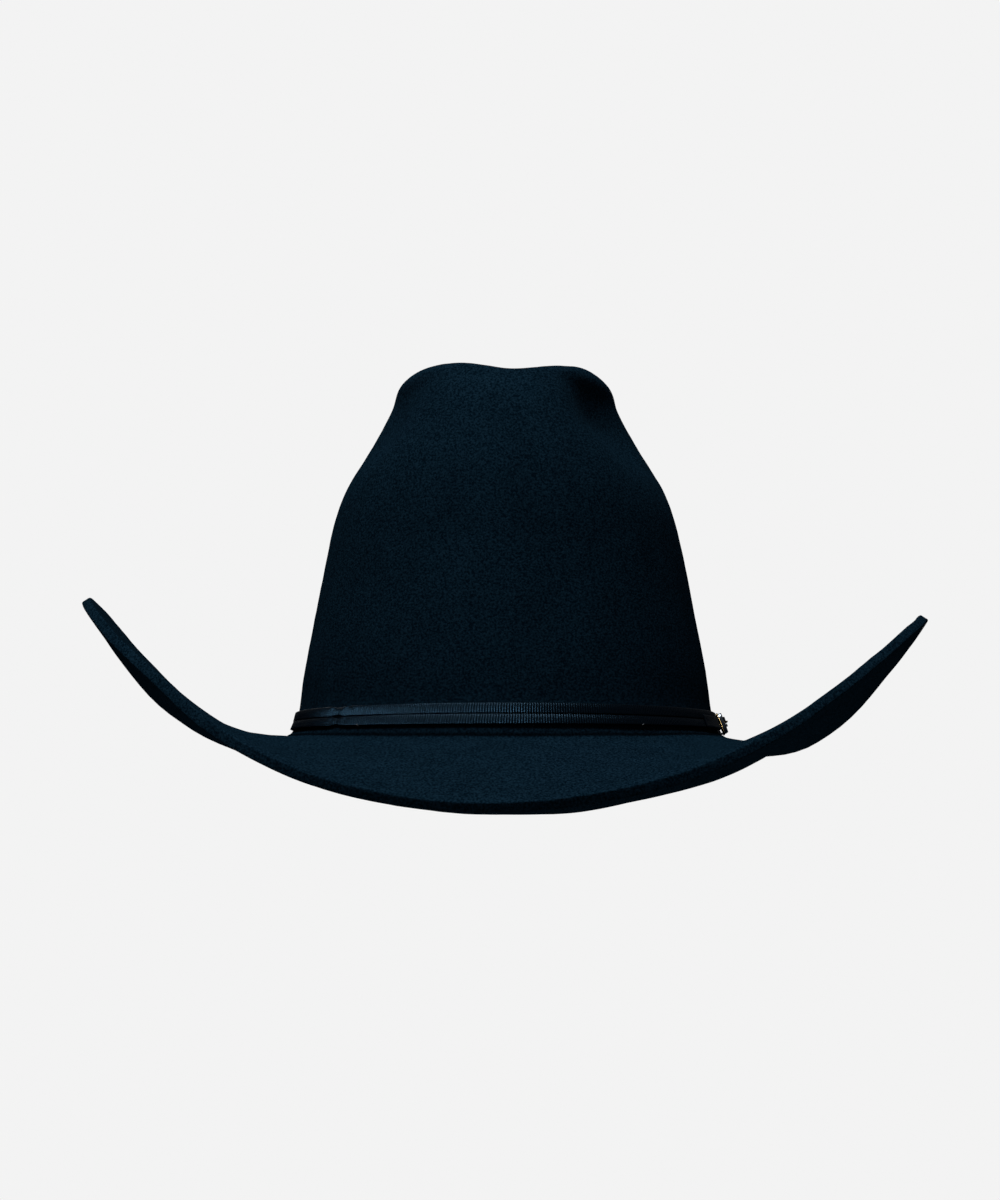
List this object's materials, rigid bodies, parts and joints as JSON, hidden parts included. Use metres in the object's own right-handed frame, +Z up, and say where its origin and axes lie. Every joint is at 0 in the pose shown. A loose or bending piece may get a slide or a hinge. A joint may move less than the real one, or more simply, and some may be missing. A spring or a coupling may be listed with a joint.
{
  "type": "cowboy hat",
  "caption": "Black felt western hat: creased tall crown, wide brim rolled up at the sides, pleated ribbon band with a side buckle, leather sweatband and satin lining.",
  "frame": {"origin": "middle of the brim's bounding box at the level of its lowest edge, where the hat stands on the front and back dips of the brim", "axes": "+Z up through the crown, -Y to the front of the hat, +X to the wearer's left"},
  "size_m": [0.332, 0.3916, 0.1777],
  "materials": {
    "felt": "short-napped black wool felt with a cold blue-green cast",
    "ribbon": "black grosgrain with fine upright ribs and a low sheen",
    "thread": "black waxed thread",
    "silver": "bright silver plate with an engraved scroll",
    "gold": "polished gold plate",
    "leather": "smooth brown sheepskin roan",
    "reed": "clear plastic reed",
    "tape": "black woven ribbon tape",
    "satin": "charcoal satin lining"
  },
  "bodies": {
    "root": {"felt_body": "felt", "hatband_backing": "ribbon", "hatband_lower_pleat": "ribbon", "hatband_upper_pleat": "ribbon", "hatband_tacks": "thread", "strap": "ribbon", "strap_anchor": "ribbon", "strap_tip": "silver", "buckle_frame": "silver", "buckle_bar": "silver", "sweatband": "leather", "sweatband_reed": "reed", "reed_tape": "tape", "sweatband_stitches": "thread", "sweatband_back_tape": "tape", "bow_loops": "tape", "bow_knot": "tape", "bow_tails": "tape", "lining_side": "satin", "lining_tip": "satin", "lining_piping": "satin"},
    "prong": {"buckle_prong": "gold"},
    "keeper": {"keeper_loop": "silver"}
  },
  "joints": [
    {"name": "prong_hinge", "type": "hinge", "parent": "root", "child": "prong", "pos_m": [0.08598, 0.00183, 0.03579], "axis": [-0.3595, 0.0121, 0.9331], "range_deg": [0, 85]},
    {"name": "keeper_slide", "type": "slide", "parent": "root", "child": "keeper", "axis": [-0.0823, 0.9966, -0.0008], "range_m": [-0.002, 0.004]}
  ]
}
